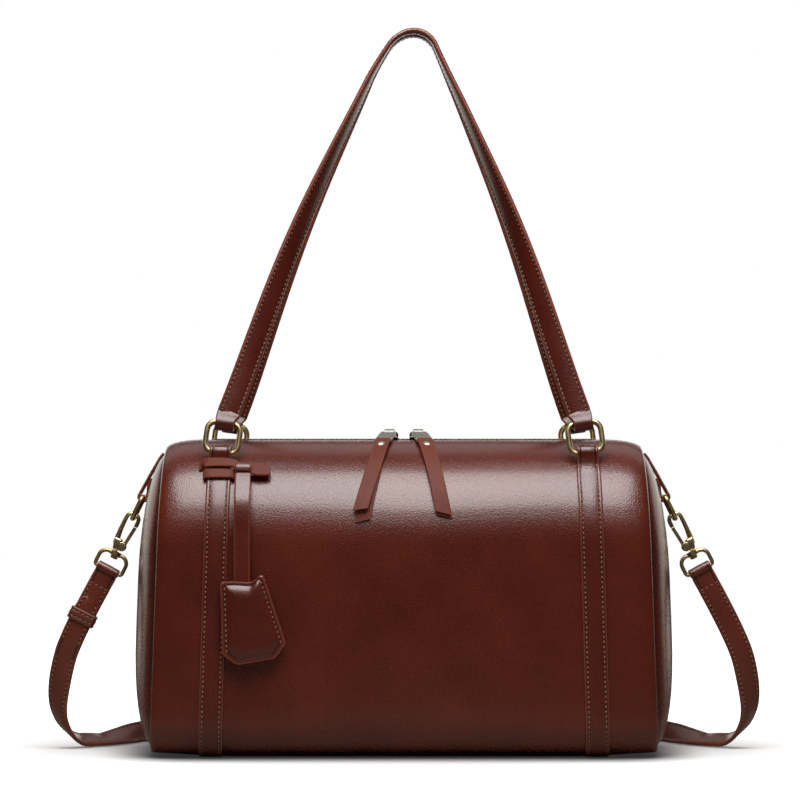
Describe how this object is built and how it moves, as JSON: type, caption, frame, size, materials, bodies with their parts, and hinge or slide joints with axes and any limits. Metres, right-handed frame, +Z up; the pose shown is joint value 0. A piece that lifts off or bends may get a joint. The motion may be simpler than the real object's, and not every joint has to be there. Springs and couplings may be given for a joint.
{
  "type": "barrel bag",
  "caption": "Leather barrel bag with twin shoulder handles on rings, a two-way top zip, a key bell and a crossbody strap on snap hooks.",
  "frame": {"origin": "middle of the base, on the surface that the bag stands on", "axes": "+Z up, -Y out of the front with the key bell, +X to the right seen from the front"},
  "size_m": [0.4582, 0.2351, 0.4595],
  "materials": {
    "body_leather": "smooth glossy",
    "strap_leather": "smooth glossy",
    "antique_brass": "polished, aged",
    "zip_brass": "satin",
    "dark_nickel": "polished dark",
    "zip_tape": "woven",
    "lining": "woven",
    "board": "plain"
  },
  "bodies": {
    "bag": {"front_panel": "body_leather", "back_panel": "body_leather", "base_panel": "body_leather", "left_end_panel": "body_leather", "right_end_panel": "body_leather", "lining_wrap": "lining", "lining_end_left": "lining", "lining_end_right": "lining", "base_board": "board", "zip_tape_front": "zip_tape", "zip_tape_back": "zip_tape", "zip_chain_front": "zip_brass", "zip_chain_back": "zip_brass", "zip_end_tab_left": "strap_leather", "zip_end_tab_right": "strap_leather", "body_strap_front_left": "strap_leather", "body_strap_front_right": "strap_leather", "body_strap_back_left": "strap_leather", "body_strap_back_right": "strap_leather", "side_tab_left": "strap_leather", "side_tab_right": "strap_leather", "crossbody_strap_left": "strap_leather", "crossbody_strap_back": "strap_leather", "crossbody_strap_right": "strap_leather", "strap_tongue": "strap_leather", "strap_keeper": "strap_leather", "key_band": "strap_leather"},
    "front_rings": {"ring_front_left": "antique_brass", "ring_front_right": "antique_brass"},
    "front_handle": {"front_handle": "strap_leather"},
    "back_rings": {"ring_back_left": "antique_brass", "ring_back_right": "antique_brass"},
    "back_handle": {"back_handle": "strap_leather"},
    "key_strap": {"key_thong": "strap_leather", "key_ring": "antique_brass"},
    "key_bell": {"bell_front": "strap_leather", "bell_back": "strap_leather"},
    "zip_slider_left": {"zip_slider_left": "dark_nickel"},
    "zip_pull_left": {"pull_plate_left": "dark_nickel", "pull_tag_left": "strap_leather", "pull_rivet_left": "antique_brass"},
    "clip_left": {"d_ring_left": "antique_brass", "swivel_loop_left": "antique_brass"},
    "hook_left": {"hook_left": "antique_brass", "gate_pin_left": "antique_brass"},
    "gate_left": {"hook_gate_left": "antique_brass"},
    "zip_slider_right": {"zip_slider_right": "dark_nickel"},
    "zip_pull_right": {"pull_plate_right": "dark_nickel", "pull_tag_right": "strap_leather", "pull_rivet_right": "antique_brass"},
    "clip_right": {"d_ring_right": "antique_brass", "swivel_loop_right": "antique_brass"},
    "hook_right": {"hook_right": "antique_brass", "gate_pin_right": "antique_brass"},
    "gate_right": {"hook_gate_right": "antique_brass"}
  },
  "joints": [
    {"name": "front_ring_swing", "type": "hinge", "parent": "bag", "child": "front_rings", "pos_m": [0, -0.052, 0.19006], "axis": [1, 0, 0], "range_deg": [0, 25]},
    {"name": "front_handle_swing", "type": "hinge", "parent": "front_rings", "child": "front_handle", "pos_m": [0, -0.049, 0.20904], "axis": [1, 0, 0], "range_deg": [0, 80]},
    {"name": "back_ring_swing", "type": "hinge", "parent": "bag", "child": "back_rings", "pos_m": [0, 0.052, 0.19006], "axis": [-1, 0, 0], "range_deg": [0, 25]},
    {"name": "back_handle_swing", "type": "hinge", "parent": "back_rings", "child": "back_handle", "pos_m": [0, 0.049, 0.20904], "axis": [-1, 0, 0], "range_deg": [0, 80]},
    {"name": "zip_slider_left_travel", "type": "slide", "parent": "bag", "child": "zip_slider_left", "axis": [-1, 0, 0], "range_m": [0, 0.055]},
    {"name": "zip_pull_left_lift", "type": "hinge", "parent": "zip_slider_left", "child": "zip_pull_left", "pos_m": [-0.0095, 0, 0.2035], "axis": [-1, 0, 0], "range_deg": [0, 130]},
    {"name": "zip_slider_right_travel", "type": "slide", "parent": "bag", "child": "zip_slider_right", "axis": [1, 0, 0], "range_m": [0, 0.07]},
    {"name": "zip_pull_right_lift", "type": "hinge", "parent": "zip_slider_right", "child": "zip_pull_right", "pos_m": [0.0095, 0, 0.2035], "axis": [-1, 0, 0], "range_deg": [0, 130]},
    {"name": "key_strap_swing", "type": "hinge", "parent": "bag", "child": "key_strap", "pos_m": [-0.10021, -0.06251, 0.17951], "axis": [-1, 0, 0], "range_deg": [0, 50]},
    {"name": "key_bell_slide", "type": "slide", "parent": "key_strap", "child": "key_bell", "axis": [0, 0, 1], "range_m": [0, 0.03]},
    {"name": "clip_left_swing", "type": "hinge", "parent": "bag", "child": "clip_left", "pos_m": [-0.16682, 0, 0.16232], "axis": [0, 1, 0], "range_deg": [0, 20], "deforming": ["crossbody_strap_left", "strap_tongue", "strap_keeper"]},
    {"name": "hook_left_swivel", "type": "hinge", "parent": "clip_left", "child": "hook_left", "pos_m": [-0.18374, 0, 0.12763], "axis": [0.4384, 0, 0.8988], "range_deg": [-20, 20]},
    {"name": "gate_left_press", "type": "hinge", "parent": "hook_left", "child": "gate_left", "pos_m": [-0.17952, 0, 0.13058], "axis": [0, -1, 0], "range_deg": [0, 20], "stiffness_Nm_per_rad": 0.02},
    {"name": "clip_right_swing", "type": "hinge", "parent": "bag", "child": "clip_right", "pos_m": [0.16682, 0, 0.16232], "axis": [0, -1, 0], "range_deg": [0, 20], "deforming": ["crossbody_strap_right"]},
    {"name": "hook_right_swivel", "type": "hinge", "parent": "clip_right", "child": "hook_right", "pos_m": [0.18374, 0, 0.12763], "axis": [-0.4384, 0, 0.8988], "range_deg": [-20, 20]},
    {"name": "gate_right_press", "type": "hinge", "parent": "hook_right", "child": "gate_right", "pos_m": [0.17952, 0, 0.13058], "axis": [0, 1, 0], "range_deg": [0, 20], "stiffness_Nm_per_rad": 0.02}
  ]
}
